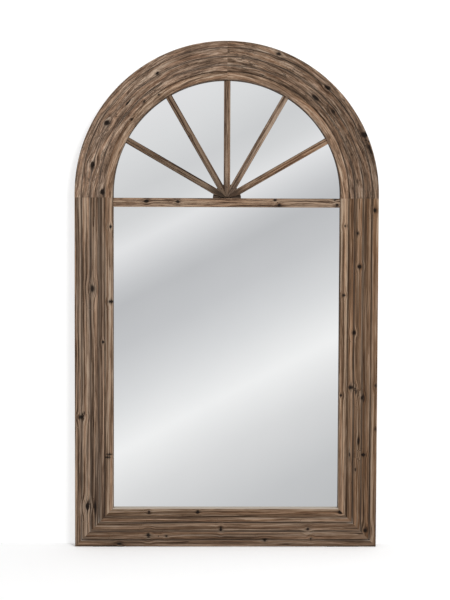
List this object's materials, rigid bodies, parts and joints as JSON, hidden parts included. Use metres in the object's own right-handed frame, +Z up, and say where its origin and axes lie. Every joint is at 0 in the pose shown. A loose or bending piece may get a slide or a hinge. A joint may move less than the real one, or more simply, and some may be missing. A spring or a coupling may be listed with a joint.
{
  "type": "floor mirror",
  "caption": "Tall arched floor mirror with a wide reeded aged-wood frame, a sunburst fan of wooden spokes over a transom, a back panel and swinging hanging rings.",
  "frame": {"origin": "middle of the overall box's underside: on the floor, in the centre plane, midway between the frame's front and the wall stops", "axes": "+Z up; the mirror faces -Y, so +Y points to the wall; +X is to the right of someone looking into the mirror"},
  "size_m": [1.22, 0.064, 2.036],
  "materials": {
    "reeded_timber": "aged, waxed softwood, matt",
    "slip_timber": "paler aged softwood, matt",
    "fan_timber": "paler aged softwood, matt",
    "hub_timber": "dark aged softwood, matt",
    "key_timber": "pressed beech",
    "mirror_glass": "polished, silvered behind",
    "back_board": "bare fibreboard",
    "foam_tape": "closed-cell foam",
    "black_rubber": "moulded, matt",
    "plate_steel": "zinc plated",
    "screw_steel": "yellow zinc plated",
    "ring_steel": "zinc plated, smooth",
    "nail_iron": "dark, rusted"
  },
  "bodies": {
    "frame": {"left_stile": "reeded_timber", "right_stile": "reeded_timber", "bottom_rail": "reeded_timber", "left_arch": "reeded_timber", "right_arch": "reeded_timber", "left_slip": "slip_timber", "right_slip": "slip_timber", "bottom_slip": "slip_timber", "left_arch_slip": "slip_timber", "right_arch_slip": "slip_timber", "transom_bar": "fan_timber", "spoke_far_left": "fan_timber", "spoke_left": "fan_timber", "spoke_centre": "fan_timber", "spoke_right": "fan_timber", "spoke_far_right": "fan_timber", "fan_hub": "hub_timber", "joint_biscuits": "key_timber", "main_mirror": "mirror_glass", "fan_mirror": "mirror_glass", "back_panel": "back_board", "mirror_tape": "foam_tape", "setting_blocks": "black_rubber", "wall_bumpers": "black_rubber", "left_foot_pad": "black_rubber", "right_foot_pad": "black_rubber", "left_corner_brace": "plate_steel", "right_corner_brace": "plate_steel", "left_joint_plate": "plate_steel", "right_joint_plate": "plate_steel", "crown_joint_plate": "plate_steel", "left_hanger_strap": "plate_steel", "right_hanger_strap": "plate_steel", "back_panel_screws": "screw_steel", "plate_screws": "screw_steel", "hanger_screws": "screw_steel", "spoke_brads": "nail_iron"},
    "left_ring": {"left_hanger_ring": "ring_steel"},
    "right_ring": {"right_hanger_ring": "ring_steel"}
  },
  "joints": [
    {"name": "left_ring_swing", "type": "hinge", "parent": "frame", "child": "left_ring", "pos_m": [-0.561, 0.0268, 1.29], "axis": [1, 0, 0], "range_deg": [0, 180]},
    {"name": "right_ring_swing", "type": "hinge", "parent": "frame", "child": "right_ring", "pos_m": [0.561, 0.0268, 1.29], "axis": [1, 0, 0], "range_deg": [0, 180]}
  ]
}
